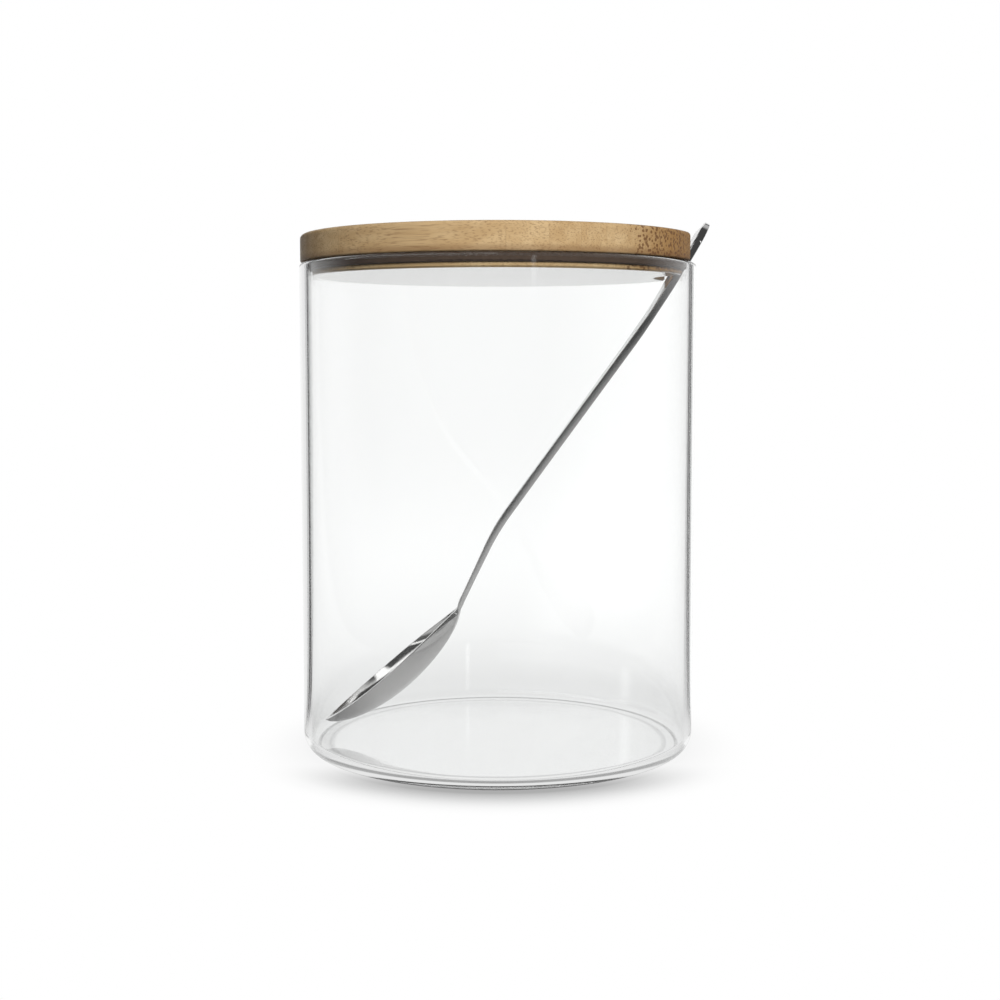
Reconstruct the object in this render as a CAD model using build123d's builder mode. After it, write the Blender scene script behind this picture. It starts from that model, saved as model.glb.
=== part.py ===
from build123d import *
from math import atan2, cos, degrees, hypot, pi, radians, sin, sqrt
import os

# A clear glass storage jar with a laminated bamboo lid, a sealing ring and a steel spoon.
# The frame: millimetres, +Z up, origin on the jar's axis where it stands.
# The spoon lies in the XZ plane and leaves through the lid's notch on the +X side.

# Jar: a straight-sided cylinder with a fire-polished rim.
jar_diameter = 100.0
jar_height = 123.0
jar_wall = 2.0
jar_floor = 4.0
outer_corner = 4.0
inner_corner = 7.0
standing_ring_width = 3.0
push_up_height = 1.2

# Lid: a turned disc with a plug below it that drops into the jar's mouth.
disc_setback = 0.3
disc_thickness = 6.8
disc_top_round = 1.0
disc_bottom_round = 0.5
lid_seat_gap = 0.1
plug_gap = 1.3
plug_depth = 3.5
plug_chamfer = 0.4

# Spoon notch: a crescent cut through disc and plug.
notch_radius = 22.0
notch_depth = 9.7
notch_corner_round = 1.5

# The board that the lid is cut from: as wide as the jar, glued up from strips of bamboo.
strip_count = 20
grain_angle = -23.0

# Sealing ring: a soft band in a groove of the plug, open at the notch.
ring_height = 1.6
ring_drop = 0.65
ring_round = 0.5
groove_depth = 1.0
ring_groove_gap = 0.1
ring_wall_gap = 0.3
ring_end_gap = 0.6

# Spoon: one stamped sheet, bowl and handle in one.
sheet = 1.3
bowl_length = 46.0
bowl_width = 25.6
bowl_depth = 6.7
bowl_widest_share = 0.415
bowl_tip_power = 0.75
bowl_fullness = 0.62
bowl_stations = 9
bowl_headroom = 3.0
bowl_edge = 0.3
neck_squareness = 0.94
tip_curl_run = 23.0
tip_curl_radius = 265.0
neck_width = 4.8
neck_rise = 23.2
neck_run = 17.0
neck_overlap = 1.6
neck_collar = 0.05
neck_bend = 10.5
neck_bend_radius = 60.0
handle_end_bend = 8.0
handle_end_radius = 229.0
handle_end_width = 12.4
handle_narrow_run = 30.0
rim_bend = 5.0
rim_gap = 0.1
tip_gap = 0.35
tip_seat_angle = 230.5

# Sizes that follow from those above.
outer_radius = jar_diameter / 2
inner_radius = outer_radius - jar_wall
disc_radius = outer_radius - disc_setback
disc_bottom = jar_height + lid_seat_gap
disc_top = disc_bottom + disc_thickness
plug_radius = inner_radius - plug_gap
plug_bottom = disc_bottom - plug_depth
notch_centre = disc_radius - notch_depth + notch_radius
strip_width = jar_diameter / strip_count
groove_radius = plug_radius - groove_depth
ring_top = disc_bottom - ring_drop
ring_bottom = ring_top - ring_height
ring_inner_radius = groove_radius + ring_groove_gap
ring_outer_radius = inner_radius - ring_wall_gap


def make_glass_jar():
    """One lathed profile, turned round the jar's axis."""
    ring_outer = outer_radius - outer_corner
    ring_inner = ring_outer - standing_ring_width
    rim_radius = jar_wall / 2
    with BuildPart() as glass_jar:
        with BuildSketch(Plane.XZ):
            with BuildLine():
                TangentArc((0, push_up_height), (ring_inner, 0), tangent=(1, 0))
                Line((ring_inner, 0), (ring_outer, 0))
                heel = JernArc((ring_outer, 0), (1, 0), outer_corner, 90)
                wall = Line(heel @ 1, (outer_radius, jar_height - rim_radius))
                rim = JernArc(wall @ 1, (0, 1), rim_radius, 180)
                bore = Line(rim @ 1, (inner_radius, jar_floor + inner_corner))
                corner = JernArc(bore @ 1, (0, -1), inner_corner, -90)
                floor = Line(corner @ 1, (0, jar_floor))
                Line(floor @ 1, (0, push_up_height))
            make_face()
        revolve(axis=Axis.Z)
    return glass_jar


def notched_disc(radius, height):
    """A round outline with the spoon's notch out of its edge, at one height."""
    with BuildSketch(Plane.XY.offset(height)) as outline:
        Circle(radius)
        with Locations((notch_centre, 0)):
            Circle(notch_radius, mode=Mode.SUBTRACT)
        fillet(outline.vertices(), radius=notch_corner_round)
    return outline.sketch


def make_lid_blank():
    """The lid as turned and cut from one glued board, before it is told apart strip by strip."""
    with BuildPart() as lid_blank:
        extrude(notched_disc(disc_radius, disc_bottom), amount=disc_thickness)
        fillet(lid_blank.faces().sort_by(Axis.Z)[-1].edges(), radius=disc_top_round)
        fillet(lid_blank.faces().sort_by(Axis.Z)[0].edges(), radius=disc_bottom_round)
        extrude(notched_disc(plug_radius, plug_bottom), amount=plug_depth + disc_bottom_round)
        chamfer(lid_blank.faces().sort_by(Axis.Z)[0].edges(), length=plug_chamfer)
        with BuildSketch(Plane.XY.offset(ring_bottom)):
            Circle(inner_radius)
            Circle(groove_radius, mode=Mode.SUBTRACT)
        extrude(amount=ring_height, mode=Mode.SUBTRACT)
    return lid_blank


def make_lid_strip(lid_blank, low, high):
    """The part of the lid between two glue lines, counted across the grain."""
    grain_plane = Plane(
        origin=(0, 0, plug_bottom),
        x_dir=(cos(radians(grain_angle)), sin(radians(grain_angle)), 0),
        z_dir=(0, 0, 1),
    )
    with BuildPart() as strip:
        add(lid_blank.part)
        with BuildSketch(grain_plane):
            with Locations((0, (low + high) / 2)):
                Rectangle(jar_diameter, high - low)
        extrude(amount=disc_top - plug_bottom, mode=Mode.INTERSECT)
    return strip


def make_sealing_ring():
    """A soft band that fills the groove and stops short of the notch at both ends."""
    with BuildPart() as ring:
        with BuildSketch(Plane.XY.offset(ring_bottom)):
            Circle(ring_outer_radius)
            Circle(ring_inner_radius, mode=Mode.SUBTRACT)
        extrude(amount=ring_height)
        fillet(ring.edges().filter_by(GeomType.CIRCLE).group_by(SortBy.RADIUS)[-1], radius=ring_round)
        with BuildSketch(Plane.XY.offset(ring_bottom)):
            with Locations((notch_centre, 0)):
                Circle(notch_radius + ring_end_gap)
        extrude(amount=ring_height, mode=Mode.SUBTRACT)
    return ring


# The spoon's side line, in its own frame: origin at the bowl's tip, x along the bowl's rim to the
# neck, y up out of the bowl. The rim curls up towards the tip. The neck rises, bends towards the
# rim of the jar, runs straight and curls up at its end. The straight run is as long as the
# jar's mouth asks for.
def polar(length, angle):
    return Vector(length * cos(radians(angle)), length * sin(radians(angle)))


def rim_point(x):
    """A point of the bowl's rim line: an arc from the tip, then straight to the neck."""
    curl = tip_curl_radius - sqrt(tip_curl_radius ** 2 - max(0, tip_curl_run - x) ** 2)
    return Vector(x, curl - tip_rise)


tip_rise = tip_curl_radius - sqrt(tip_curl_radius ** 2 - tip_curl_run ** 2)
handle_rise = neck_rise - neck_bend
neck_root = rim_point(bowl_length)
neck_start = neck_root - polar(neck_overlap, neck_rise)
neck_top = neck_root + polar(neck_run, neck_rise)
neck_centre = neck_top + polar(neck_bend_radius, neck_rise - 90)
bend_end = neck_centre + polar(neck_bend_radius, handle_rise + 90)

corner_centre = Vector(inner_corner - inner_radius, jar_floor + inner_corner)
tip = corner_centre + polar(inner_corner - tip_gap, tip_seat_angle)
# The handle is flat across, so its two edges meet the round rim first.
rim_line = inner_radius + jar_wall / 2
rim_centre = Vector(sqrt(rim_line ** 2 - (handle_end_width / 2) ** 2), jar_height - jar_wall / 2)
reach = rim_centre - tip

# The rim's round edge touches the underside of the curled end at this distance from its centre.
touch_radius = handle_end_radius + sheet / 2 + rim_gap + jar_wall / 2
rim_past_bend = polar(handle_end_radius, handle_rise + 90) + polar(touch_radius, handle_rise + rim_bend - 90)
rim_from_tip = bend_end + rim_past_bend
along = polar(1, handle_rise)
back = rim_from_tip.dot(along)
handle_straight = sqrt(back ** 2 - rim_from_tip.length ** 2 + reach.length ** 2) - back
rim_seen = rim_from_tip + along * handle_straight
lean = degrees(atan2(reach.Y, reach.X) - atan2(rim_seen.Y, rim_seen.X))

straight_end = bend_end + along * handle_straight
end_centre = straight_end + polar(handle_end_radius, handle_rise + 90)
handle_end = end_centre + polar(handle_end_radius, handle_rise + handle_end_bend - 90)


def in_jar(point):
    """A point of the spoon's side line, placed in the jar's XZ plane."""
    turned = polar(point.length, degrees(atan2(point.Y, point.X)) + lean)
    return Vector(tip.X + turned.X, 0, tip.Y + turned.Y)


def direction(angle):
    """A direction of the spoon's side line, in the jar's XZ plane."""
    turned = polar(1, angle + lean)
    return Vector(turned.X, 0, turned.Y)


def bowl_outline(share):
    """The bowl's width over its greatest: 0 at the tip and at the neck, 1 where it is widest."""
    neck_power = bowl_tip_power * (1 - bowl_widest_share) / bowl_widest_share
    tip_side = (share / bowl_widest_share) ** bowl_tip_power
    return tip_side * ((1 - share) / (1 - bowl_widest_share)) ** neck_power


def bowl_hollow(share):
    """The bowl's depth over its greatest: 0 at the tip and at the neck, 1 half way."""
    return (1 - (2 * share - 1) ** 2) ** bowl_fullness


def bowl_slice(x, half, deep, edge):
    """A slice across the bowl: straight sides down to an edge below the rim line, then an arc."""
    with BuildSketch(Plane(origin=in_jar(rim_point(x)), x_dir=(0, 1, 0), z_dir=direction(0))) as slice:
        with BuildLine():
            ThreePointArc((-half, -edge), (0, -deep), (half, -edge))
            Polyline((half, -edge), (half, bowl_headroom), (-half, bowl_headroom), (-half, -edge))
        make_face()
    return slice.sketch.face()


def bowl_shares():
    return [(1 - cos(pi * number / bowl_stations)) / 2 for number in range(1, bowl_stations)]


def make_bowl_blank():
    """The bowl's outside, from its pointed tip to the neck's own section, cut off at its rim."""
    slices = [Vertex(*in_jar(Vector(0, 0)))]
    foot_half = neck_width / 2 + neck_collar
    foot_edge = sheet / 2 / cos(radians(neck_rise)) + neck_collar
    for share in bowl_shares() + [1]:
        half = hypot(bowl_width / 2 * bowl_outline(share), foot_half * share ** 2)
        deep = hypot(bowl_depth * bowl_hollow(share), (foot_edge + neck_collar) * share ** 2)
        edge = bowl_edge + (neck_squareness * deep - bowl_edge) * share ** 16
        slices.append(bowl_slice(bowl_length * share, half, deep, edge))
    rim = [rim_point(x) for x in (-1, tip_curl_run / 2, tip_curl_run, bowl_length + 1)]
    above = Vector(0, 2 * bowl_headroom)
    rim_start, rim_middle, rim_bend_end, rim_stop, stop_above, start_above = [
        (placed.X, placed.Z) for placed in map(in_jar, rim + [rim[-1] + above, rim[0] + above])
    ]
    with BuildPart() as blank:
        loft(slices)
        with BuildSketch(Plane.XZ):
            with BuildLine():
                ThreePointArc(rim_start, rim_middle, rim_bend_end)
                Polyline(rim_bend_end, rim_stop, stop_above, start_above, rim_start)
            make_face()
        extrude(amount=bowl_width, both=True, mode=Mode.SUBTRACT)
    return blank


def hollow_slices():
    """The slices of the bowl's inside, set back from its outside by the sheet's thickness."""
    length = bowl_length - 2 * sheet
    above = Vector(0, bowl_headroom)
    slices = [Vertex(*in_jar(rim_point(sheet) + above))]
    for share in bowl_shares():
        half = (bowl_width / 2 - sheet) * bowl_outline(share)
        deep = (bowl_depth - sheet) * bowl_hollow(share)
        slices.append(bowl_slice(sheet + length * share, half, deep, 0))
    slices.append(Vertex(*in_jar(rim_point(bowl_length - sheet) + above)))
    return slices


def make_spoon():
    """The handle bent from sheet and trimmed to its outline, then the bowl, then its hollow."""
    line = handle_end - neck_root
    handle_length = line.length
    handle_slope = degrees(atan2(line.Y, line.X))
    half_end = handle_end_width / 2
    half_neck = neck_width / 2
    with BuildPart() as spoon:
        with BuildSketch(Plane.XZ):
            with BuildLine():
                points = [in_jar(p) for p in (neck_start, neck_top, bend_end, straight_end, handle_end)]
                flat = [(p.X, p.Z) for p in points]
                Line(flat[0], flat[1])
                neck_way = direction(neck_rise)
                handle_way = direction(handle_rise)
                TangentArc(flat[1], flat[2], tangent=(neck_way.X, neck_way.Z))
                Line(flat[2], flat[3])
                TangentArc(flat[3], flat[4], tangent=(handle_way.X, handle_way.Z))
            trace(line_width=sheet)
        extrude(amount=handle_end_width, both=True)
        outline_plane = Plane(
            origin=in_jar(neck_root),
            x_dir=direction(handle_slope),
            z_dir=direction(handle_slope + 90),
        )
        with BuildSketch(outline_plane):
            with BuildLine():
                side = Line((-2 * neck_overlap, half_neck), (handle_narrow_run, half_neck))
                flare = Spline(
                    side @ 1,
                    (handle_length - half_end, half_end),
                    tangents=((1, 0), (1, 0)),
                )
                RadiusArc(flare @ 1, (handle_length, 0), half_end)
                Line(side @ 0, (-2 * neck_overlap, 0))
                mirror(about=Plane.XZ)
            make_face()
        extrude(amount=bowl_length, both=True, mode=Mode.INTERSECT)
        add(make_bowl_blank().part)
        loft(hollow_slices(), mode=Mode.SUBTRACT)
    return spoon


def save(piece, name):
    piece.part.label = name
    export_step(piece.part, f"parts/{name}.step")


os.makedirs("parts", exist_ok=True)

save(make_glass_jar(), "glass_jar")

lid_blank = make_lid_blank()
for number in range(strip_count):
    low = number * strip_width - outer_radius
    save(make_lid_strip(lid_blank, low, low + strip_width), f"lid_strip_{number + 1:02d}")

save(make_sealing_ring(), "sealing_ring")
save(make_spoon(), "spoon")

print(f"lean {lean:.2f}, straight run {handle_straight:.2f}, handle end at", in_jar(handle_end))
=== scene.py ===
from math import asin, cos, degrees, hypot, pi, radians, sin, sqrt

import bpy
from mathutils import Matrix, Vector


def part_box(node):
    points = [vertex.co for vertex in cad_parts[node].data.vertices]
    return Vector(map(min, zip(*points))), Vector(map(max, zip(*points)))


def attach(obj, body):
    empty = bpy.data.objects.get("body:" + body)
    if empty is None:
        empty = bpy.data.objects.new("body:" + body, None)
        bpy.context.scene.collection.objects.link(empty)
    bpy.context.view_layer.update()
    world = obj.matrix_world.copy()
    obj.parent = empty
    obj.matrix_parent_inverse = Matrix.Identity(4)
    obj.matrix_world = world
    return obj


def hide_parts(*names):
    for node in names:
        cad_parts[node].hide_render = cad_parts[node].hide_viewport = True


# A clear glass storage jar with a laminated bamboo lid, a sealing ring and a steel spoon.
# Metres, +Z up, origin on the jar's axis where it stands. The camera looks along +Y.

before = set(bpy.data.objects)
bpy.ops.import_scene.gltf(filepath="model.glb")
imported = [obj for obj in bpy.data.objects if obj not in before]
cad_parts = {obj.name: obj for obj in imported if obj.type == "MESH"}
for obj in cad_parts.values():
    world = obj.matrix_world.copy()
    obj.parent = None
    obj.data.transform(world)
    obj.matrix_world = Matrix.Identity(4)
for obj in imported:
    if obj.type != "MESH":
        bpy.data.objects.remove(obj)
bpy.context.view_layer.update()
mm = 0.001

# Camera, as fitted to the photograph.
sensor_width = 36.0
image_width = 1000
focal_pixels = 1550.4
camera_place = Vector((0.56, -397.0, 98.84)) * mm
camera_pitch = radians(5.147)

# Jar, in metres. Its floor and the corner inside are smaller than the CAD's, for the rings that
# the photograph shows at the base.
outer_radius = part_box("glass_jar")[1][0]
jar_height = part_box("glass_jar")[1][2]
jar_wall = 2.0 * mm
jar_floor = 1.8 * mm
outer_corner = 4.0 * mm
inner_corner = 2.8 * mm
standing_ring_width = 3.0 * mm
push_up_height = 0.25 * mm
inner_radius = outer_radius - jar_wall

# Lid, in millimetres, as the lid's materials use them.
strip_width = 5.0
grain_angle = radians(-23)
board_half_width = outer_radius / mm
disc_bottom = 123.1
plug_bottom = 119.6

# Spoon, in millimetres and in its own frame: origin at the bowl's tip, x along the bowl's rim to
# the neck, y up out of the bowl.
sheet = 1.3
bowl_length = 46.0
bowl_width = 25.6
bowl_depth = 6.7
bowl_widest_share = 0.415
bowl_tip_power = 0.75
bowl_fullness = 0.62
bowl_edge = 0.3
neck_squareness = 0.94
neck_collar = 0.05
tip_curl_run = 23.0
tip_curl_radius = 265.0
tip_rise = tip_curl_radius - sqrt(tip_curl_radius ** 2 - tip_curl_run ** 2)
neck_width = 4.8
neck_rise = 23.2
neck_run = 17.0
neck_root_radius = 4.0
neck_bend = 10.5
neck_bend_radius = 60.0
handle_straight = 56.68
handle_end_bend = 8.0
handle_end_radius = 229.0
handle_end_width = 12.4
handle_narrow_run = 30.0
spoon_lean = radians(41.38)
spoon_tip = (-45.23, 5.87)
edge_round = 0.16


def material(name):
    """A new material with a Principled shader, and a helper to add nodes to it."""
    made = bpy.data.materials.new(name)
    made.use_nodes = True
    return made, Nodes(made.node_tree)


class Nodes:
    """Short ways to add shader nodes and link them."""

    def __init__(self, tree):
        self.tree = tree

    def add(self, kind, **values):
        node = self.tree.nodes.new("ShaderNode" + kind)
        for name, value in values.items():
            setattr(node, name, value)
        return node

    def put(self, value, socket):
        if isinstance(value, bpy.types.NodeSocket):
            self.tree.links.new(value, socket)
        else:
            socket.default_value = value

    def math(self, operation, *values):
        node = self.add("Math", operation=operation)
        for value, socket in zip(values, node.inputs):
            self.put(value, socket)
        return node.outputs[0]

    def plus(self, one, other):
        return self.math("ADD", one, other)

    def minus(self, one, other):
        return self.math("SUBTRACT", one, other)

    def times(self, one, other):
        return self.math("MULTIPLY", one, other)

    def over(self, one, other):
        return self.math("DIVIDE", one, other)

    def most(self, one, other):
        return self.math("MAXIMUM", one, other)

    def off(self, value, middle):
        """How far a value is from a middle."""
        return self.math("ABSOLUTE", self.minus(value, middle))

    def turned(self, x, y, angle):
        """What x and y are along and across a direction at an angle from x."""
        along = self.plus(self.times(x, cos(angle)), self.times(y, sin(angle)))
        across = self.minus(self.times(y, cos(angle)), self.times(x, sin(angle)))
        return along, across

    def smooth(self, value, low, high, start=0.0, end=1.0):
        """Goes smoothly from start to end as value goes from low to high."""
        node = self.add("MapRange", interpolation_type="SMOOTHSTEP")
        for given, socket in zip((value, low, high, start, end), node.inputs):
            self.put(given, socket)
        return node.outputs[0]

    def edge(self, value, span, start=0.0, end=1.0):
        """As smooth, over a span given as a pair."""
        return self.smooth(value, span[0], span[1], start, end)

    def sweep(self, azimuth, span, start=0.0, end=1.0):
        """As edge, for an azimuth and a span in degrees."""
        return self.smooth(azimuth, radians(span[0]), radians(span[1]), start, end)

    def between(self, share, one, other):
        """The value one at share 0, the value other at share 1."""
        node = self.add("Mix", data_type="FLOAT")
        self.put(share, node.inputs[0])
        self.put(one, node.inputs[2])
        self.put(other, node.inputs[3])
        return node.outputs[0]

    def blend(self, share, one, other, how="MIX"):
        """Colour one at share 0, colour other at share 1, or the two combined in another way."""
        node = self.add("Mix", data_type="RGBA", blend_type=how)
        self.put(share, node.inputs[0])
        self.put(one, node.inputs[6])
        self.put(other, node.inputs[7])
        return node.outputs[2]

    def mix(self, share, one, other):
        """Shader one at share 0, shader other at share 1."""
        node = self.add("MixShader")
        for given, socket in zip((share, one, other), node.inputs):
            self.put(given, socket)
        return node.outputs[0]

    def split(self, vector):
        node = self.add("SeparateXYZ")
        self.put(vector, node.inputs[0])
        return node.outputs

    def join(self, x, y, z):
        node = self.add("CombineXYZ")
        for given, socket in zip((x, y, z), node.inputs):
            self.put(given, socket)
        return node.outputs[0]

    def noise(self, vector, scale, detail=2.0):
        node = self.add("TexNoise")
        self.put(vector, node.inputs["Vector"])
        self.put(scale, node.inputs["Scale"])
        self.put(detail, node.inputs["Detail"])
        return node.outputs[0]

    def bump(self, height, distance, strength=1.0):
        node = self.add("Bump")
        self.put(height, node.inputs["Height"])
        self.put(distance, node.inputs["Distance"])
        self.put(strength, node.inputs["Strength"])
        return node.outputs[0]

    def surface(self, shader):
        self.put(shader, self.tree.nodes["Material Output"].inputs[0])


def new_object(name, vertices, faces, smooth=True):
    mesh = bpy.data.meshes.new(name)
    mesh.from_pydata(vertices, [], faces)
    mesh.validate()
    for polygon in mesh.polygons:
        polygon.use_smooth = smooth
    made = bpy.data.objects.new(name, mesh)
    bpy.context.scene.collection.objects.link(made)
    return made


def scaled(span, length):
    """A span that is given as shares of a length."""
    return span[0] * length, span[1] * length


def arc(centre, radius, start, end, steps):
    """Points on an arc, by angles in degrees, without its first point."""
    angles = [radians(start + (end - start) * (number + 1) / steps) for number in range(steps)]
    return [(centre[0] + radius * cos(a), centre[1] + radius * sin(a)) for a in angles]


# Camera
def make_camera():
    data = bpy.data.cameras.new("camera")
    data.sensor_width = sensor_width
    data.lens = sensor_width * focal_pixels / image_width
    camera = bpy.data.objects.new("camera", data)
    camera.location = camera_place
    camera.rotation_euler = (pi / 2 - camera_pitch, 0, 0)
    bpy.context.scene.collection.objects.link(camera)
    bpy.context.scene.camera = camera


# Studio, as mirrors and glass see it: a white backlight behind the jar with a dark flag along
# each of its edges, light sides, a bright card high on the left, and a dim room on the camera's
# side with one narrow strip of light. Angles are in degrees from the way that the camera looks,
# distances in metres, and heights are a direction's z. A pair is where a flag or a soft edge
# starts and ends. Three brightnesses are kept apart by the ray's path: what is looked at directly
# is white, and what is seen straight through the glass and what is mirrored have their own.
# one_wall and one_bounce lie between two counts: up to two faces of glass crossed, and at least
# one mirroring.
left_flag = (33.0, 42.0)
right_flag = (25.0, 32.5)
flag_edge = 1.5
dark_flag = 0.0
one_wall = 2.5
left_fall = 0.76
left_fall_span = (5, 32)
light_side = 0.7
room_span = (60.0, 95.0)
dim_room = 0.09
strip_azimuth = 160.0
strip_half_width = 1.2
strip_bottom = (0.03, 0.1)
strip_top = (0.2, 0.28)
strip_level = 2.5
strip_edge_shares = (0.5, 1.5)
fill_light = 0.1
seen_through_far = 1.09
seen_through_right = 1.18
brighter_right_span = (2, 8)
one_bounce = 0.5

card_level = 2.1
card_left = (45, 52)
card_bottom = (0.1, 0.16)
card_back_edge = (81, 86)
card_overhead = (0.92, 0.95)
bar_level = 0.03
low_bar_start = (0.15, 0.2)
low_bar_stop = (0.6, 0.65)
low_bar_span = (89, 94)
high_bar_start = (0.76, 0.79)
high_bar_stop = (0.8, 0.96)
high_bar_rest = 0.4
high_bar_span = (65, 105)

# Floor. The shares are of the jar's radius, and those of the foot's painted shadow lines are of
# foot_line.
# Mirrored, the floor has a painted shade below the jar, darker at the left with a painted shadow
# of the spoon's tip; it is floor_beside next to the jar, and floor_room on the camera's side,
# fading with the distance.
floor_size = 6.0
floor_grey = 0.15
by_jar_share = 1.6
# Painted shade below the jar, and a painted shadow of the spoon's tip, as glass and steel mirror
# them.
floor_under_shade = 0.62
spoon_tip_shadow = 0.2
tip_shadow_shares = (-1, -0.4)
floor_under_glass = 0.8
floor_beside = 0.7
floor_room = 0.55
floor_room_start = 0.3
floor_room_length = 0.35
# Painted shade on the floor near the jar, as seen straight through the glass.
seen_through_near_shade = 0.84
near_start = 0.08
near_reach = 0.12
# The foot's lines are a painted contact shadow on the floor.
foot_line = 0.8 * mm
outer_line_shares = (0.5, 1.5)
inner_line_shares = (0.5, 1.2)
foot_shadow = 0.42
foot_shadow_inside = 0.75
contact_reach = 0.018
contact_span = (0.4, 1.0)
contact_shadow_front = 0.42
contact_shadow_back = 0.92
contact_front_shares = (-0.95, -0.45)
contact_samples = 16


def was_mirrored(nodes, path):
    """Whether glass or steel mirrored the ray on its way."""
    return nodes.math("GREATER_THAN", path["Glossy Depth"], one_bounce)


def is_sharp(nodes, path):
    """Whether glass let the ray through or glass or steel mirrored it, just before it got here."""
    return nodes.most(path["Is Transmission Ray"], path["Is Glossy Ray"])


def studio_level(nodes, x, y, inset, side, room):
    """How bright the studio is towards a place or direction. The camera's side gets its own level.
    An inset counts places from the jar's walls, as that is where they are seen from. The flags
    darken the near walls' own edges, and not what the far wall mirrors."""
    out = nodes.most(nodes.minus(nodes.math("ABSOLUTE", x), inset), 0.0)
    azimuth = nodes.math("ARCTAN2", out, y)
    right = nodes.math("GREATER_THAN", x, 0.0)
    start = nodes.between(right, radians(left_flag[0]), radians(right_flag[0]))
    stop = nodes.between(right, radians(left_flag[1]), radians(right_flag[1]))
    soft = radians(flag_edge)
    fall = nodes.between(right, nodes.sweep(azimuth, left_fall_span, 1.0, left_fall), 1.0)
    crossed = nodes.add("LightPath").outputs["Transmission Depth"]
    dark = nodes.between(nodes.math("LESS_THAN", crossed, one_wall), side, dark_flag)
    beside = nodes.between(nodes.smooth(nodes.minus(azimuth, stop), 0.0, soft), dark, side)
    around = nodes.between(nodes.sweep(azimuth, room_span), beside, room)
    return nodes.between(nodes.smooth(nodes.minus(azimuth, start), 0.0, soft), fall, around)


def backlight(nodes, x, y):
    """What is seen straight through the glass. The backlight is brighter on its right."""
    azimuth = nodes.math("ARCTAN2", x, y)
    return nodes.sweep(azimuth, brighter_right_span, seen_through_far, seen_through_right)


def high_card(nodes, x, y, z, level):
    """A bright card high on the left with two dark bars and a dark back edge, which the spoon's
    bowl mirrors. Overhead the back edge is bright too."""
    azimuth = nodes.math("ARCTAN2", nodes.times(x, -1), y)
    low_bar = nodes.times(nodes.edge(z, low_bar_start), nodes.edge(z, low_bar_stop, 1, 0))
    low_bar = nodes.times(low_bar, nodes.sweep(azimuth, low_bar_span))
    high_bar = nodes.edge(z, high_bar_stop, 1, high_bar_rest)
    high_bar = nodes.times(nodes.edge(z, high_bar_start), high_bar)
    high_bar = nodes.times(high_bar, nodes.sweep(azimuth, high_bar_span))
    card = nodes.between(nodes.most(low_bar, high_bar), card_level, bar_level)
    lit = nodes.most(nodes.sweep(azimuth, card_back_edge), nodes.edge(z, card_overhead))
    on_card = nodes.times(nodes.sweep(azimuth, card_left), nodes.edge(z, card_bottom))
    return nodes.between(on_card, level, nodes.times(card, lit))


def make_world():
    world = bpy.data.worlds.new("studio")
    world.use_nodes = True
    bpy.context.scene.world = world
    nodes = Nodes(world.node_tree)
    world.node_tree.nodes.clear()
    path = nodes.add("LightPath").outputs
    x, y, z = nodes.split(nodes.add("TexCoord").outputs["Generated"])
    off_strip = nodes.off(nodes.math("ARCTAN2", x, y), radians(strip_azimuth))
    strip_edge = scaled(strip_edge_shares, strip_half_width)
    strip = nodes.times(nodes.sweep(off_strip, strip_edge, 1.0, 0.0), strip_level)
    strip = nodes.times(strip, nodes.edge(z, strip_bottom))
    strip = nodes.times(strip, nodes.edge(z, strip_top, 1.0, 0.0))
    mirrored = studio_level(nodes, x, y, 0.0, light_side, nodes.plus(strip, dim_room))
    mirrored = high_card(nodes, x, y, z, mirrored)
    through = nodes.between(was_mirrored(nodes, path), backlight(nodes, x, y), mirrored)
    level = nodes.between(is_sharp(nodes, path), fill_light, through)
    back = nodes.add("Background")
    back.inputs["Color"].default_value = (1, 1, 1, 1)
    nodes.put(nodes.between(path["Is Camera Ray"], level, 1.0), back.inputs["Strength"])
    nodes.put(back.outputs[0], nodes.add("OutputWorld").inputs[0])


def floor_mirrored(nodes, x, y, away, crossed):
    """What glass and steel mirror of the floor: the studio's levels, and a painted shade below the
    jar with a painted shadow of the spoon's tip.
    """
    past = nodes.most(nodes.minus(away, floor_room_start), 0.0)
    fading = nodes.math("EXPONENT", nodes.over(past, -floor_room_length))
    room = nodes.plus(nodes.times(fading, floor_room), dim_room)
    beside_jar = studio_level(nodes, x, y, inner_radius, floor_beside, room)
    tip_shadow_span = scaled(tip_shadow_shares, outer_radius)
    # Painted shadow of the spoon's tip at the left of the painted shade below the jar.
    under = nodes.edge(x, tip_shadow_span, spoon_tip_shadow, floor_under_shade)
    in_glass = nodes.math("LESS_THAN", crossed, one_wall)
    under = nodes.between(in_glass, under, floor_under_glass)
    by_jar = nodes.smooth(away, outer_radius, by_jar_share * outer_radius)
    return nodes.between(by_jar, under, beside_jar)


def floor_straight(nodes, x, y, away):
    """The floor as seen straight through the glass, a little greyer near the jar: a painted shade.
    """
    nearness = nodes.math("EXPONENT", nodes.over(nodes.minus(away, near_start), -near_reach))
    nearness = nodes.math("MINIMUM", nearness, 1.0)
    return nodes.between(nearness, backlight(nodes, x, y), seen_through_near_shade)


def foot_shadow_lines(nodes, away):
    """Painted contact shadow: a fine dark line along each edge of the ring that the jar stands on.
    """
    foot_edge = outer_radius - outer_corner
    off_outer = nodes.off(away, foot_edge + foot_line)
    off_inner = nodes.off(away, foot_edge - standing_ring_width)
    outer_edge = scaled(outer_line_shares, foot_line)
    inner_edge = scaled(inner_line_shares, foot_line)
    outer_line = nodes.edge(off_outer, outer_edge, foot_shadow, 1.0)
    inner_line = nodes.edge(off_inner, inner_edge, foot_shadow_inside, 1.0)
    return nodes.times(outer_line, inner_line)


def floor_seen(nodes, y):
    """The floor as the camera sees it: white, with a contact shadow that is darkest in front."""
    shade = nodes.add("AmbientOcclusion", samples=contact_samples)
    shade.inputs["Distance"].default_value = contact_reach
    front = scaled(contact_front_shares, outer_radius)
    darkest = nodes.edge(y, front, contact_shadow_front, contact_shadow_back)
    return nodes.edge(shade.outputs["AO"], contact_span, darkest, 1.0)


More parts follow.
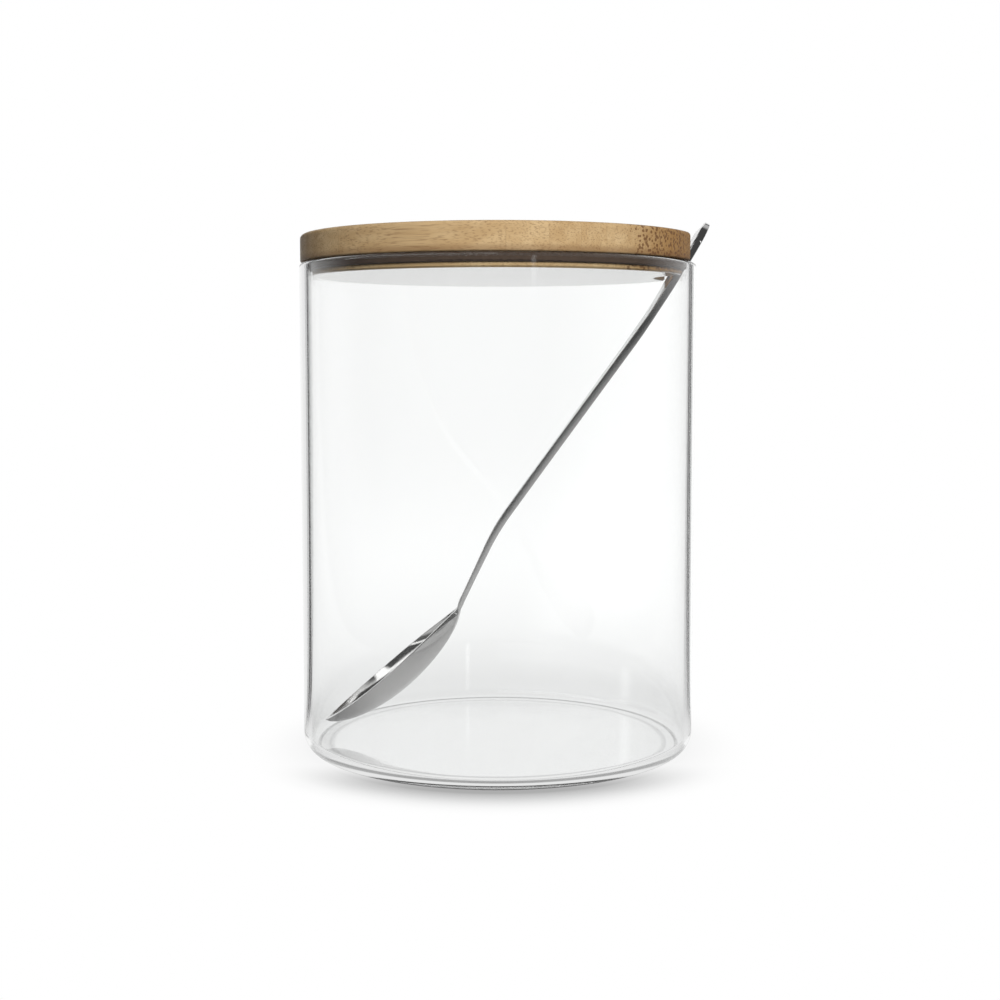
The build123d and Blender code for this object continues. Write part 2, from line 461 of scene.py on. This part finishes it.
def make_floor():
    size = floor_size
    corners = [(-size, -size, 0), (size, -size, 0), (size, size, 0), (-size, size, 0)]
    floor = new_object("floor", corners, [(0, 1, 2, 3)])
    made, nodes = material("floor")
    made.node_tree.nodes.remove(made.node_tree.nodes["Principled BSDF"])
    path = nodes.add("LightPath").outputs
    x, y, z = nodes.split(nodes.add("NewGeometry").outputs["Position"])
    away = nodes.math("SQRT", nodes.plus(nodes.times(x, x), nodes.times(y, y)))
    mirrored = floor_mirrored(nodes, x, y, away, path["Transmission Depth"])
    unmirrored = floor_straight(nodes, x, y, away)
    through = nodes.between(was_mirrored(nodes, path), unmirrored, mirrored)
    # Painted contact shadow along the jar's foot.
    through = nodes.times(through, foot_shadow_lines(nodes, away))
    glow = nodes.add("Emission")
    seen = nodes.between(path["Is Camera Ray"], through, floor_seen(nodes, y))
    nodes.put(seen, glow.inputs["Strength"])
    matt = nodes.add("BsdfDiffuse")
    matt.inputs["Color"].default_value = (floor_grey, floor_grey, floor_grey, 1)
    looked_at = nodes.most(path["Is Camera Ray"], is_sharp(nodes, path))
    nodes.surface(nodes.mix(looked_at, matt.outputs[0], glow.outputs[0]))
    floor.data.materials.append(made)


# Lamp, for the matt surfaces. It is neither seen itself nor mirrored.
lamp_place = (0.25, -1.0, 0.5)
lamp_aim = (0, 0, 0.1)
lamp_size = 0.5
lamp_power = 13.5


def make_lamp():
    data = bpy.data.lights.new("key", "AREA")
    data.shape = "SQUARE"
    data.size = lamp_size
    data.energy = lamp_power
    lamp = bpy.data.objects.new("key", data)
    lamp.location = lamp_place
    away = Vector(lamp_place) - Vector(lamp_aim)
    lamp.rotation_euler = away.to_track_quat("Z", "Y").to_euler()
    lamp.visible_glossy = False
    lamp.visible_transmission = False
    lamp.visible_camera = False
    bpy.context.scene.collection.objects.link(lamp)


# Glass. In the way of lamps and of light from matt surfaces it is a plain tint, which needs no
# caustics.
glass_tint = (0.995, 1.0, 0.998, 1)
glass_ior = 1.47
shadow_tint = (0.92, 0.93, 0.925, 1)
corner_steps = 24
rim_steps = 16
wall_steps = 8
floor_steps = 12
steps_around = 256
close_to_end = 0.1 * mm


def straight(points, end, steps):
    """Adds a straight run, with a point close to each of its ends to keep its shading straight."""
    start = points[-1]
    out, up = end[0] - start[0], end[1] - start[1]
    close = close_to_end / hypot(out, up)
    for share in [close] + [number / steps for number in range(1, steps)] + [1 - close, 1]:
        points.append((start[0] + out * share, start[1] + up * share))


def glass_profile():
    """Half the jar's section as (radius, height), from the middle of its foot up round the rim and
    down to the middle of its floor."""
    foot_edge = outer_radius - outer_corner
    ring_inner = foot_edge - standing_ring_width
    dome_radius = (ring_inner ** 2 + push_up_height ** 2) / (2 * push_up_height)
    dome_angle = degrees(asin(ring_inner / dome_radius))
    rim = jar_wall / 2
    dome_centre = (0, push_up_height - dome_radius)
    corner_centre = (inner_radius - inner_corner, jar_floor + inner_corner)
    points = [(0, push_up_height)]
    points += arc(dome_centre, dome_radius, 90, 90 - dome_angle, corner_steps)
    straight(points, (foot_edge, 0), 1)
    points += arc((foot_edge, outer_corner), outer_corner, -90, 0, corner_steps)
    straight(points, (outer_radius, jar_height - rim), wall_steps)
    points += arc((outer_radius - rim, jar_height - rim), rim, 0, 180, rim_steps)
    straight(points, (inner_radius, jar_floor + inner_corner), wall_steps)
    points += arc(corner_centre, inner_corner, 0, -90, corner_steps)
    straight(points, (0, jar_floor), floor_steps)
    return points


def lathe(name, profile, steps):
    """Turns a profile that starts and ends on the axis."""
    vertices = [(0, 0, profile[0][1]), (0, 0, profile[-1][1])]
    faces = []
    rings = len(profile) - 2
    for step in range(steps):
        angle = 2 * pi * step / steps
        for radius, height in profile[1:-1]:
            vertices.append((radius * cos(angle), radius * sin(angle), height))
    for step in range(steps):
        here = 2 + step * rings
        there = 2 + (step + 1) % steps * rings
        faces.append((0, there, here))
        faces.append((1, here + rings - 1, there + rings - 1))
        for ring in range(rings - 1):
            faces.append((here + ring, there + ring, there + ring + 1, here + ring + 1))
    return new_object(name, vertices, faces)


def glass_material():
    made, nodes = material("clear_glass")
    glass = made.node_tree.nodes["Principled BSDF"]
    glass.inputs["Base Color"].default_value = glass_tint
    glass.inputs["Roughness"].default_value = 0.0
    glass.inputs["IOR"].default_value = glass_ior
    glass.inputs["Transmission Weight"].default_value = 1.0
    clear = nodes.add("BsdfTransparent")
    clear.inputs["Color"].default_value = shadow_tint
    path = nodes.add("LightPath").outputs
    lit = nodes.most(path["Is Shadow Ray"], path["Is Diffuse Ray"])
    nodes.surface(nodes.mix(lit, glass.outputs[0], clear.outputs[0]))
    return made


def make_glass():
    jar = lathe("jar_glass", glass_profile(), steps_around)
    jar.data.materials.append(glass_material())
    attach(jar, "jar")
    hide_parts("glass_jar")


# Spoon's section, in millimetres. The hollow fades out just before the neck, where the section
# settles to that of the handle. The handle swells to a little more than the sheet, and its upper
# side once more near the end, where it thins. A pair is where something starts and is complete,
# as a run from the tip, or back from the handle's end where the name says so.
hollow_end = (43, 44.7)
neck_settling = 3
bowl_edge_power = 16
handle_swell = 0.3
swell_run = 30
swell_from_end = (22, 36)
second_swell_from_end = (30, 8)
top_edge_from_end = (0, 3)

# How the spoon's edges are rounded, and how finely it is meshed. The rounding is kept smaller
# where the section is thin or narrow.
most_of_depth = 0.45
most_of_half_width = 0.4
least_half_width = 0.02
least_slant = 0.05
hollow_edge_round = 0.15
most_of_hollow = 1 / 3
width_steps = 16
edge_steps = 5
bowl_steps = 90
handle_steps = 90
end_steps = 24
last_gap = 0.002
nearly_flat = 1e-6

# The finish of the steel: fine lines along the handle, and smudges.
steel_colour = (0.57, 0.565, 0.56, 1)
brush_stretch = 0.06
brush_scale = 9000
brush_roughness = 0.03
brush_relief = 0.004 * mm
smudge_scale = 120
smudge_span = (0.4, 0.7)
smudge_roughness = (0.05, 0.11)
finish_detail = 3


def rim_height(x):
    """The bowl's rim curls up towards the tip."""
    curl = tip_curl_radius - sqrt(tip_curl_radius ** 2 - max(0, tip_curl_run - x) ** 2)
    return curl - tip_rise


def bowl_outline(share):
    neck_power = bowl_tip_power * (1 - bowl_widest_share) / bowl_widest_share
    tip_side = (share / bowl_widest_share) ** bowl_tip_power
    return tip_side * ((1 - share) / (1 - bowl_widest_share)) ** neck_power


def bowl_hollow(share):
    return (1 - (2 * share - 1) ** 2) ** bowl_fullness


def ease(value, low, high):
    share = min(1, max(0, (value - low) / (high - low)))
    return share * share * (3 - 2 * share)


root_tangent = neck_root_radius * sin(radians(neck_rise / 2)) / cos(radians(neck_rise / 2))
spine_parts = [
    (bowl_length - root_tangent, 0),
    (neck_root_radius * radians(neck_rise), neck_rise),
    (neck_run - root_tangent, 0),
    (neck_bend_radius * radians(neck_bend), -neck_bend),
    (handle_straight, 0),
    (handle_end_radius * radians(handle_end_bend), handle_end_bend),
]
spine_length = sum(length for length, turn in spine_parts)
flare_end = spine_length - handle_end_width / 2


def spine(run):
    """The spoon's side line at a length from the tip: x, y and slope in degrees."""
    x, y, slope = 0, 0, 0
    for length, turn in spine_parts:
        step = min(run, length)
        turned = turn * step / length
        chord = step
        if turned:
            half_turn = radians(turned) / 2
            chord = step * sin(half_turn) / half_turn
        x += chord * cos(radians(slope + turned / 2))
        y += chord * sin(radians(slope + turned / 2))
        slope += turned
        run -= step
    return x, y, slope


def spoon_point(run, across, up):
    """From the spoon's own run, width and height to the part's frame."""
    x, y, slope = spine(run)
    if run < spine_parts[0][0]:
        y = rim_height(run)
    else:
        y -= tip_rise
    x -= up * sin(radians(slope))
    y += up * cos(radians(slope))
    return (
        (spoon_tip[0] + x * cos(spoon_lean) - y * sin(spoon_lean)) * mm,
        across * mm,
        (spoon_tip[1] + x * sin(spoon_lean) + y * cos(spoon_lean)) * mm,
    )


def spoon_half_width(run):
    foot = neck_width / 2 + neck_collar
    if run <= bowl_length:
        share = run / bowl_length
        return hypot(bowl_width / 2 * bowl_outline(share), foot * share ** 2)
    narrow = foot - neck_collar * ease(run, bowl_length, bowl_length + neck_settling)
    widening = ease(run, bowl_length + handle_narrow_run, flare_end)
    half = narrow + (handle_end_width / 2 - narrow) * widening
    if run > flare_end:
        half *= sqrt(max(0, 1 - ((run - flare_end) / (handle_end_width / 2)) ** 2))
    return half


def spoon_section(run):
    """Bottom, lower edge, top, and half width and depth of the hollow, at a run."""
    half_sheet = sheet / 2
    foot_edge = half_sheet / cos(radians(neck_rise)) + neck_collar
    top = half_sheet * ease(run, spine_parts[0][0], spine_parts[0][0] + spine_parts[1][0])
    if run < bowl_length:
        share = run / bowl_length
        bottom = hypot(bowl_depth * bowl_hollow(share), (foot_edge + neck_collar) * share ** 2)
        edge = bowl_edge + (neck_squareness * bottom - bowl_edge) * share ** bowl_edge_power
    else:
        settled = ease(run, bowl_length, bowl_length + neck_settling)
        bottom = foot_edge + neck_collar + (half_sheet - foot_edge - neck_collar) * settled
        edge = neck_squareness * bottom + (half_sheet - neck_squareness * bottom) * settled
    from_end = spine_length - run
    swell = handle_swell * ease(run, bowl_length + neck_settling, bowl_length + swell_run)
    swell *= ease(from_end, *swell_from_end)
    bottom += swell
    edge += swell
    if run > bowl_length + swell_run:
        swell = handle_swell * (1 + ease(from_end, *second_swell_from_end))
    top += swell * ease(from_end, *top_edge_from_end)
    inner_share = (run - sheet) / (bowl_length - 2 * sheet)
    hollow_half, hollow_depth = 0, 0
    if 0 < inner_share < 1:
        hollow_half = (bowl_width / 2 - sheet) * bowl_outline(inner_share)
        hollow_depth = (bowl_depth - sheet) * bowl_hollow(inner_share)
        hollow_depth *= 1 - ease(run, *hollow_end)
    return bottom, min(edge, bottom), top, hollow_half, hollow_depth


def dish(share, half, depth):
    """How deep a round dish is at a share of its half width."""
    if depth < nearly_flat or half < nearly_flat:
        return depth * (1 - share ** 2)
    radius = (half ** 2 + depth ** 2) / (2 * depth)
    return sqrt(max(0, radius ** 2 - (share * half) ** 2)) - (radius - depth)


def half_loop(run, plan_x, plan_y):
    """Half a section's outline as (run, across, up), from the middle below to the middle above.
    The edges are rounded along the plan's normal."""
    half = spoon_half_width(run)
    bottom, edge, top, _, _ = spoon_section(run)
    room = most_of_half_width * max(half, least_half_width) / max(abs(plan_y), least_slant)
    rounding = min(edge_round, most_of_depth * (top + edge), room)

    def edge_point(back, up):
        return run - back * plan_x, max(0, half - back * plan_y), up

    inner_run, inset_half, _ = edge_point(rounding, top)
    _, _, _, hollow_half, hollow_depth = spoon_section(inner_run)
    points = []
    for number in range(width_steps + 1):
        across = sin(pi / 2 * number / width_steps)
        depth = dish(across, inset_half, bottom - edge)
        points.append((inner_run, across * inset_half, -edge - depth))
    for number in range(1, edge_steps + 1):
        angle = pi / 2 * number / edge_steps
        points.append(edge_point(rounding * (1 - sin(angle)), -edge + rounding * (1 - cos(angle))))
    for number in range(edge_steps + 1):
        angle = pi / 2 * number / edge_steps
        points.append(edge_point(rounding * (1 - cos(angle)), top - rounding * (1 - sin(angle))))
    hollow_half = min(hollow_half, inset_half)
    soft = min(hollow_edge_round, most_of_hollow * hollow_half)
    points.append((inner_run, min(inset_half, hollow_half + soft), top))
    for number in range(width_steps, -1, -1):
        across = sin(pi / 2 * number / width_steps)
        depth = dish(across, hollow_half, hollow_depth)
        points.append((inner_run, across * max(hollow_half - soft, 0), top - depth))
    return points


def spoon_runs():
    """Stations along the spoon, close together at both ends."""
    handle, end = flare_end - bowl_length, handle_end_width / 2
    runs = [bowl_length * (1 - cos(pi / 2 * n / bowl_steps)) for n in range(1, bowl_steps + 1)]
    runs += [bowl_length + handle * n / handle_steps for n in range(1, handle_steps + 1)]
    runs += [flare_end + end * sin(pi / 2 * n / end_steps) for n in range(1, end_steps)]
    runs.append(spine_length - last_gap)
    return runs


def steel_material():
    made, nodes = material("polished_steel")
    steel = made.node_tree.nodes["Principled BSDF"]
    steel.inputs["Base Color"].default_value = steel_colour
    steel.inputs["Metallic"].default_value = 1.0
    x, y, z = nodes.split(nodes.add("TexCoord").outputs["Object"])
    along, up = nodes.turned(x, z, spoon_lean)
    stretched = nodes.join(nodes.times(along, brush_stretch), y, up)
    brushed = nodes.noise(stretched, brush_scale, finish_detail)
    smudged = nodes.noise(nodes.join(x, y, z), smudge_scale, finish_detail)
    roughness = nodes.edge(smudged, smudge_span, *smudge_roughness)
    roughness = nodes.plus(roughness, nodes.times(brushed, brush_roughness))
    nodes.put(roughness, steel.inputs["Roughness"])
    nodes.put(nodes.bump(brushed, brush_relief), steel.inputs["Normal"])
    return made


def make_spoon():
    runs = spoon_runs()
    vertices = []
    loop_size = 0
    for number, run in enumerate(runs):
        before = runs[number - 1] if number else 0
        after = runs[min(number + 1, len(runs) - 1)]
        step = spoon_half_width(after) - spoon_half_width(before)
        length = hypot(step, after - before)
        half = half_loop(run, -step / length, (after - before) / length)
        loop = half + [(r, -a, u) for r, a, u in reversed(half[1:-1])]
        loop_size = len(loop)
        vertices += [spoon_point(*point) for point in loop]
    faces = []
    for station in range(len(runs) - 1):
        for place in range(loop_size):
            here = station * loop_size + place
            there = station * loop_size + (place + 1) % loop_size
            faces.append((here, there, there + loop_size, here + loop_size))
    faces.append(tuple(reversed(range(loop_size))))
    faces.append(tuple(range((len(runs) - 1) * loop_size, len(runs) * loop_size)))
    spoon = new_object("spoon_steel", vertices, faces)
    spoon.data.materials.append(steel_material())
    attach(spoon, "spoon")
    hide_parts("spoon")


# Bamboo of the lid. Lengths are in millimetres. Across is counted across the strips from the
# lid's middle, with minus towards its front, and within a strip in strip widths. The heights of
# the painted shade along the disc's low edge are counted from the disc's lower face. A pair is
# where something starts and ends, or what it is there.
bamboo_light = (0.60, 0.43, 0.235, 1)
bamboo_deep = (0.46, 0.30, 0.145, 1)
bamboo_end = (0.34, 0.175, 0.05, 1)
bamboo_fibre = (0.12, 0.05, 0.02, 1)
tone_strength = 0.4
strip_shift = 40
broad_stretch = 45
broad_scale = 0.45
broad_detail = 2
broad_span = (0.35, 0.65)
broad_strength = 0.5
end_grain_span = (-30, -6)
end_grain_strength = 0.9
streak_stretch = 40
streak_scale = 3.5
streak_detail = 4
streak_span = (0.46, 0.75)
streak_strength = 0.5
dot_scale = 1.15
dot_scatter = 0.9
dot_softness = 0.16
dot_strength = 0.75
front_dots_span = (-29, -21)
front_dots_size = (-0.3, 0.27)
back_dots_span = (-7, 2)
back_dots_size = (0.0, -0.12)
crowding_span = (0.1, 0.9)
crowding_size = (0.0, 0.08)
crowding_by_tone = 0.05
seam_span = (0.475, 0.495)
seam_strength = 0.12
# Painted shade along the disc's low edge: where it starts and stops, and how dark it is.
low_edge_start = (-0.2, 0.3)
low_edge_stop = (0.7, 2.0)
low_edge_shade_strength = 0.4
side_streak_span = (0.3, 0.7)
side_roughness = (0.4, 0.55)
side_specular = 0.2
varnish_fade = 0.3
varnish_strength = 0.92
varnish_roughness = 0.16
varnish_specular = 0.25
varnish_coat_roughness = 0.06
streak_relief = 0.4
bamboo_relief = 0.03 * mm


def bamboo_material():
    """Bamboo strips on edge: each strip has its own tone, long fibres along the grain that show as
    dark dots on the end grain, and thin glue lines between the strips. The disc's low edge has
    painted shade. The plug's lower face is varnished."""
    made, nodes = material("bamboo")
    wood = made.node_tree.nodes["Principled BSDF"]
    place = nodes.split(nodes.add("TexCoord").outputs["Object"])
    x, y, z = [nodes.times(part, 1 / mm) for part in place]
    along, across = nodes.turned(x, y, grain_angle)
    counted = nodes.over(nodes.plus(across, board_half_width), strip_width)
    local = nodes.math("FRACT", counted)
    chance = nodes.add("TexWhiteNoise", noise_dimensions="1D")
    nodes.put(nodes.math("FLOOR", counted), chance.inputs["W"])
    tone = chance.outputs["Value"]

    shifted = nodes.plus(across, nodes.times(tone, strip_shift))
    grain = nodes.join(shifted, nodes.over(along, broad_stretch), z)
    fine_grain = nodes.join(shifted, nodes.over(along, streak_stretch), z)
    broad = nodes.noise(grain, broad_scale, broad_detail)
    streaks = nodes.noise(fine_grain, streak_scale, streak_detail)
    dots = bamboo_dots(nodes, grain, across, local, tone)
    from_middle = nodes.off(local, 0.5)
    seam = nodes.edge(from_middle, seam_span, 0.0, seam_strength)

    deepness = nodes.edge(broad, broad_span, 0.0, broad_strength)
    deepness = nodes.plus(nodes.times(tone, tone_strength), deepness)
    colour = nodes.blend(deepness, bamboo_light, bamboo_deep)
    end_grain = nodes.edge(across, end_grain_span, 0.0, end_grain_strength)
    colour = nodes.blend(end_grain, colour, bamboo_end)
    streaked = nodes.edge(streaks, streak_span, 0.0, streak_strength)
    # The last of these darkenings is painted shade along the disc's low edge.
    for dark in (streaked, dots, seam, bamboo_low_edge_shade(nodes, z)):
        colour = nodes.blend(dark, colour, bamboo_fibre)
    nodes.put(colour, wood.inputs["Base Color"])

    rough = nodes.edge(streaks, side_streak_span, *side_roughness)
    varnish_end = plug_bottom + varnish_fade
    varnished = nodes.smooth(z, plug_bottom, varnish_end, varnish_strength, 0.0)
    specular = nodes.between(varnished, side_specular, varnish_specular)
    nodes.put(nodes.between(varnished, rough, varnish_roughness), wood.inputs["Roughness"])
    nodes.put(specular, wood.inputs["Specular IOR Level"])
    nodes.put(varnished, wood.inputs["Coat Weight"])
    wood.inputs["Coat Roughness"].default_value = varnish_coat_roughness
    relief = nodes.minus(nodes.times(streaks, streak_relief), nodes.plus(dots, seam))
    nodes.put(nodes.bump(relief, bamboo_relief), wood.inputs["Normal"])
    return made


def bamboo_dots(nodes, grain, across, local, tone):
    """The fibre bundles, as dots on the end grain. They are larger at one side of each strip.
    There are none at the lid's front, the largest behind it, and smaller ones past the middle."""
    bundles = nodes.add("TexVoronoi")
    nodes.put(grain, bundles.inputs["Vector"])
    bundles.inputs["Scale"].default_value = dot_scale
    bundles.inputs["Randomness"].default_value = dot_scatter
    front = nodes.edge(across, front_dots_span, *front_dots_size)
    back = nodes.edge(across, back_dots_span, *back_dots_size)
    crowding = nodes.edge(local, crowding_span, *crowding_size)
    by_strip = nodes.plus(nodes.plus(front, back), nodes.times(tone, crowding_by_tone))
    size = nodes.plus(crowding, by_strip)
    softened = nodes.plus(size, dot_softness)
    return nodes.smooth(bundles.outputs["Distance"], size, softened, dot_strength, 0.0)


def bamboo_low_edge_shade(nodes, z):
    """Painted shade along the disc's lower edge, which is made a little darker."""
    height = nodes.minus(z, disc_bottom)
    start = nodes.edge(height, low_edge_start)
    return nodes.times(start, nodes.edge(height, low_edge_stop, low_edge_shade_strength, 0.0))


# Sealing ring
rubber_dark = (0.06, 0.04, 0.03, 1)
rubber_light = (0.1, 0.068, 0.05, 1)
rubber_scale = 900
rubber_detail = 3
rubber_span = (0.3, 0.7)
rubber_roughness = (0.5, 0.6)
rubber_specular = 0.25
rubber_relief = 0.01 * mm


def silicone_material():
    made, nodes = material("silicone")
    rubber = made.node_tree.nodes["Principled BSDF"]
    place = nodes.add("TexCoord").outputs["Object"]
    mottled = nodes.noise(place, rubber_scale, rubber_detail)
    roughness = nodes.edge(mottled, rubber_span, *rubber_roughness)
    nodes.put(nodes.blend(mottled, rubber_dark, rubber_light), rubber.inputs["Base Color"])
    nodes.put(roughness, rubber.inputs["Roughness"])
    rubber.inputs["Specular IOR Level"].default_value = rubber_specular
    nodes.put(nodes.bump(mottled, rubber_relief), rubber.inputs["Normal"])
    return made


# Lid and sealing ring, which keep the meshes of the CAD.
sharp_angle = radians(25)


def dress(node, finish):
    """Gives a CAD piece a material, and shades its flat faces flat up to their edges."""
    mesh = node.data
    mesh.materials.clear()
    mesh.materials.append(finish)
    carried = mesh.attributes.get("custom_normal")
    if carried:
        mesh.attributes.remove(carried)
    mesh.shade_smooth()
    mesh.set_sharp_from_angle(angle=sharp_angle)


def dress_lid():
    bamboo = bamboo_material()
    for name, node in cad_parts.items():
        if name.startswith("lid_strip"):
            dress(node, bamboo)
    dress(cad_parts["sealing_ring"], silicone_material())


# How often a ray is bent or mirrored before it ends.
most_bounces = 32
most_glossy_bounces = 16

make_camera()
make_world()
make_floor()
make_lamp()
make_glass()
make_spoon()
dress_lid()

scene = bpy.context.scene
scene.view_settings.view_transform = "Standard"
scene.cycles.max_bounces = most_bounces
scene.cycles.transmission_bounces = most_bounces
scene.cycles.glossy_bounces = most_glossy_bounces
